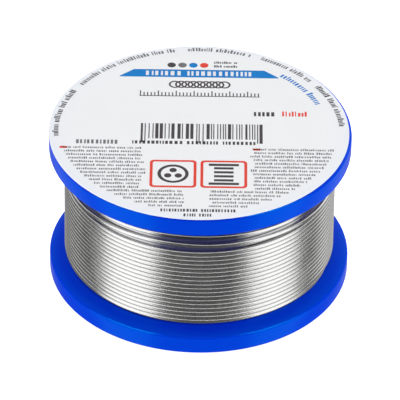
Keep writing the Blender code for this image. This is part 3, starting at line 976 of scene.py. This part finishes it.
def spool_figure(x, y):
    """A spool from the side: two flanges with four turns between them."""
    turns = [(x, y + 2.1 - 1.4 * row, 4.0, 0.75, 0.0) for row in range(4)]
    return turns + [(x, y + 3.3, 6.2, 0.8, 0.0), (x, y - 3.3, 6.2, 0.8, 0.0)]


def wire_section(x, y):
    """Cored wire cut through: a ring round three cores."""
    angles = (0.0, 2 * pi / 3, 4 * pi / 3)
    cores = [(disc(x + 1.25 * sin(angle), y + 1.25 * cos(angle), 0.75),) for angle in angles]
    return [(disc(x, y, 3.2), disc(x, y, 2.5)), *cores]


def coil_figure(x, y):
    """A row of rings that cross, every other one a hair higher so that their tops don't lie in one plane."""
    spots = [x + 1.3 * index for index in range(9)]
    return [(disc(spot, y, 1.3), disc(spot, y, 0.92), INK_STEP * (i % 2)) for i, spot in enumerate(spots)]


def figure_frame(x, y):
    return rounded_square(x, y, 4.8, 0.9), rounded_square(x, y, 4.2, 0.5)


def colour_patch(place):
    """One of a row of round patches that show a printer's inks."""
    return (disc(-6.0 + 2.3 * place, 23.9, 0.9),)


def band_outline():
    """A band that narrows upwards."""
    return outline_points([(-17.2, 19.4, 0.15), (16.9, 19.4, 0.15), (13.6, 22.2, 0.15), (-13.9, 22.2, 0.15)])


def make_print():
    """Made-up print in five inks: bars for small print, a band, patches, a coil, a scale and two figures."""
    tree = mark_tree()
    rng = Random(PRINT_SEED)

    def along_edge(first, last, radius=ROUND_PRINT_RADIUS, **size):
        return small_print(rng, curved(radius), radius * radians(first), radius * radians(last), **size)

    edge = {"height": 0.95, "width": 0.34}
    grey = along_edge(-57.0, -10.0, **edge) + along_edge(-5.0, 22.0, **edge) + along_edge(26.0, 52.0, **edge)
    grey += small_print(rng, straight(-5.2), -25.4, -16.6, height=1.4, width=0.3, tall=0.0)
    grey += paragraph_marks(rng, -1) + paragraph_marks(rng, 1)
    dark = along_edge(-95.0, -62.0, **edge) + along_edge(56.0, 86.0, **edge) + striped_panel(rng)
    for y, low, high, height, width, gap in DARK_ROWS:
        dark += small_print(rng, straight(y), low, high, height, width, gap, tall=0.0)
    dark += tick_scale() + spool_figure(FIGURE_ASIDE, FIGURE_HEIGHT)
    dark += small_print(rng, straight(24.6), 3.0, 8.0, height=0.6)
    dark += small_print(rng, straight(23.2), 3.0, 8.0, height=0.6)
    red = small_print(rng, straight(5.5), 17.3, 23.2, height=1.3, width=0.26)
    red += [(-28.0, -6.6, 1.5, 0.7, 0.0), (12.0, -6.6, 1.5, 0.7, 0.0)]
    blue = along_edge(40.0, 70.0, BLUE_PRINT_RADIUS, height=1.1, width=0.34, gap=0.26, tall=0.1)
    white = small_print(rng, straight(20.0), -11.4, 11.4, height=1.6, width=0.34, gap=0.3, tall=0.0)

    dark_shapes = coil_figure(-5.2, 16.7) + wire_section(-FIGURE_ASIDE, FIGURE_HEIGHT) + [colour_patch(0)]
    red_shapes = [figure_frame(x, FIGURE_HEIGHT) for x in (-FIGURE_ASIDE, FIGURE_ASIDE)] + [colour_patch(3)]
    prints = {
        "grey": (grey, [colour_patch(1)]),
        "dark": (dark, dark_shapes),
        "red": (red, red_shapes),
        "white": (white, []),
        "blue": (blue, [(band_outline(),), colour_patch(2)]),
    }
    for colour, (marks, shapes) in prints.items():
        lift = WHITE_INK_LIFT if colour == "white" else 0.0
        ink = printing_ink(f"printing ink, {colour}", *INKS[colour])
        printed(f"print_{colour}", marks, shapes, tree, ink, lift)


def make_floor():
    """A pale floor a hair below the spool, see-through from underneath. The floor_bounce light stands for the
    light that it throws back."""
    mesh = bpy.data.meshes.new("floor")
    shape = bmesh.new()
    bmesh.ops.create_grid(shape, x_segments=1, y_segments=1, size=FLOOR_HALF_SIZE)
    bmesh.ops.translate(shape, verts=shape.verts, vec=(0.0, 0.0, -FLOOR_DROP))
    shape.to_mesh(mesh)
    shape.free()
    floor = put("floor", mesh)
    material, tree = new_material("white studio paper")
    white = {"Base Color": linear("F4F4F4"), "Roughness": 0.9, "Emission Color": linear("FFFFFF")}
    paper = add_node(tree, "ShaderNodeBsdfPrincipled", {**white, "Emission Strength": 0.9})
    below = add_node(tree, "ShaderNodeNewGeometry").outputs["Backfacing"]
    clear = add_node(tree, "ShaderNodeBsdfTransparent")
    surface = add_node(tree, "ShaderNodeMixShader", (below, paper, clear))
    add_node(tree, "ShaderNodeOutputMaterial", {"Surface": surface})
    mesh.materials.append(material)
    floor.visible_glossy = False
    floor.visible_diffuse = False


def soft_light(name, place, aim, width, height, radiance, seen_in):
    """A soft box turned to face the aim. It shows in mirrors alone, or lights matt surfaces alone."""
    light = bpy.data.lights.new(name, "AREA")
    light.shape = "RECTANGLE"
    light.size = width
    light.size_y = height
    light.energy = radiance * pi * width * height
    obj = bpy.data.objects.new(name, light)
    bpy.context.scene.collection.objects.link(obj)
    obj.location = place
    obj.rotation_euler = (Vector(place) - Vector(aim)).to_track_quat("Z", "Y").to_euler()
    obj.visible_camera = False
    obj.visible_diffuse = seen_in == "matt"
    obj.visible_glossy = seen_in == "mirrors"


def share_lights(group, pieces, lights):
    """These lights reach these pieces alone."""
    receivers = bpy.data.collections.new(group)
    for piece in pieces:
        receivers.objects.link(bpy.data.objects[piece])
    for light in lights:
        bpy.data.objects[light].light_linking.receiver_collection = receivers


def upright_softbox(name, azimuth, half_width, low, high, radiance, seen_in="mirrors"):
    """A soft box that stands upright and spans these angles, seen from the spool. Azimuth 90 is +X."""
    x, y = SOFTBOX_DISTANCE * sin(radians(azimuth)), -SOFTBOX_DISTANCE * cos(radians(azimuth))
    bottom, top = SOFTBOX_DISTANCE * tan(radians(low)), SOFTBOX_DISTANCE * tan(radians(high))
    middle = (bottom + top) / 2
    width = 2 * SOFTBOX_DISTANCE * tan(radians(half_width))
    soft_light(name, (x, y, middle), (0.0, 0.0, middle), width, top - bottom, radiance, seen_in)


def make_lights():
    """Tall boxes at the front corners for the winding's bright bands, high ones for the tops of its turns,
    edge and low ones for the rims, and fills that light paper and plastic evenly."""
    upright_softbox("left_softbox", -57.25, 22.75, -55.0, 62.0, 1.37)
    upright_softbox("right_softbox", 62.75, 21.25, -55.0, 62.0, 1.3)
    upright_softbox("high_front_softbox", 0.0, 40.0, 47.0, 60.0, 1.2)
    upright_softbox("high_left_softbox", -97.0, 20.0, 38.0, 58.0, 0.68)
    upright_softbox("high_right_softbox", 99.0, 18.0, 38.0, 58.0, 0.9)
    upright_softbox("back_left_softbox", -143.0, 30.0, 14.0, 50.0, 0.58)
    upright_softbox("back_right_softbox", 143.0, 30.0, 14.0, 50.0, 0.74)
    upright_softbox("left_edge_softbox", -58.0, 22.0, 40.0, 62.0, 4.0)
    upright_softbox("right_edge_softbox", 62.0, 22.0, 40.0, 62.0, 4.0)
    upright_softbox("left_low_softbox", -116.0, 24.0, -55.0, -8.0, 0.85)
    upright_softbox("right_low_softbox", 116.0, 24.0, -55.0, -8.0, 0.85)
    upright_softbox("left_fill", -72.0, 56.0, -15.0, 28.0, 1.24, "matt")
    upright_softbox("right_fill", 72.0, 56.0, -15.0, 28.0, 1.24, "matt")
    above, below, middle = (0.0, 0.0, SOFTBOX_DISTANCE), (0.0, 0.0, BOUNCE_HEIGHT), (0.0, 0.0, 0.0)
    soft_light("top_softbox", above, middle, OVERHEAD_SIZE, OVERHEAD_SIZE, 1.14, "matt")
    soft_light("floor_bounce", below, above, OVERHEAD_SIZE, OVERHEAD_SIZE, 0.95, "matt")


def link_lights():
    """Metal, plastic and the upper rim have highlights of their own, made by boxes that reach them alone."""
    winding = ("wound_wire_outer_turns", "wound_wire_inner_turns")
    flanges = ("lower_flange_moulding", "upper_flange_moulding")
    corners = ("back_left", "back_right", "high_front", "high_left", "high_right")
    share_lights("metal", winding, [f"{corner}_softbox" for corner in corners])
    share_lights("plastic", flanges, ("left_edge_softbox", "right_edge_softbox"))
    share_lights("upper rim", ("upper_flange_moulding",), ("left_low_softbox", "right_low_softbox"))


def make_world():
    """A grey backdrop that is palest behind the spool, a little to the right."""
    world = bpy.data.worlds.new("studio")
    world.use_nodes = True
    tree = world.node_tree
    tree.nodes.clear()
    direction = add_node(tree, "ShaderNodeTexCoord").outputs["Generated"]
    azimuth = radians(PALE_SIDE_AZIMUTH)
    pale_side = (sin(azimuth), -cos(azimuth), 0.0)
    facing = add_node(tree, "ShaderNodeVectorMath", (direction, pale_side), operation="DOT_PRODUCT")
    towards = facing.outputs["Value"]
    wide = add_node(tree, "ShaderNodeMapRange", (towards, -0.7, 0.4, 0.12, 0.18))
    near = add_node(tree, "ShaderNodeMapRange", (towards, 0.4, 0.95, 0.0, 0.75))
    level = add_node(tree, "ShaderNodeMath", (wide, near), operation="ADD")
    glow = add_node(tree, "ShaderNodeBackground", {"Strength": level})
    add_node(tree, "ShaderNodeOutputWorld", {"Surface": glow})
    bpy.context.scene.world = world
    bpy.context.scene.view_settings.view_transform = "Standard"


def make_camera():
    data = bpy.data.cameras.new("photo_camera")
    data.sensor_width = SENSOR_WIDTH
    data.lens = FOCAL_PIXELS / PICTURE_SIZE * SENSOR_WIDTH
    data.shift_x = (PICTURE_SIZE / 2 - PICTURE_CENTRE[0]) / PICTURE_SIZE
    data.shift_y = (PICTURE_CENTRE[1] - PICTURE_SIZE / 2) / PICTURE_SIZE
    data.clip_start = 0.05
    camera = bpy.data.objects.new("photo_camera", data)
    bpy.context.scene.collection.objects.link(camera)
    e, r = radians(CAMERA_ELEVATION), radians(CAMERA_ROLL)
    toward = Vector((0.0, cos(e), -sin(e)))
    up = Vector((0.0, sin(e), cos(e)))
    right = Vector((1.0, 0.0, 0.0))
    rolled_right = right * cos(r) + up * sin(r)
    rolled_up = up * cos(r) - right * sin(r)
    place = Vector((0.0, 0.0, CAMERA_AIM_HEIGHT)) - toward * CAMERA_DISTANCE
    turn = Matrix((rolled_right, rolled_up, -toward)).transposed().to_4x4()
    camera.matrix_world = Matrix.Translation(place) @ turn
    bpy.context.scene.camera = camera


def main():
    plastic = moulded_polystyrene()
    # Both copies of the solder carry painted shade: the outer one on its spread turns under the upper flange;
    # the lower layer's copy is darker and bluer, shaded nearly all over off the bright bands, with a faint
    # painted blue glow
    solder = drawn_solder(
        "drawn tin-lead solder",
        colours=("D8D8D7", "E4E4E3"),
        roughness=(0.21, 0.27),
        shade_heights=(24.6 * MM, 26.9 * MM),
        clear_above=0.75,
        glow=0.0,
    )
    shaded_lower_solder = drawn_solder(
        "drawn tin-lead solder, lower layer",
        colours=("CACACD", "D4D4D7"),
        roughness=(0.26, 0.32),
        shade_heights=(0.0, 1.0 * MM),
        clear_above=1.2,
        glow=0.05,
    )
    make_camera()
    make_lights()
    make_world()
    make_floor()
    spokes = spoke_tree()
    make_flanges(spokes, plastic)
    make_barrel(spokes, plastic)
    make_winding(wire_tree(), solder, shaded_lower_solder)
    make_label(coated_paper())
    make_print()
    link_lights()


main()
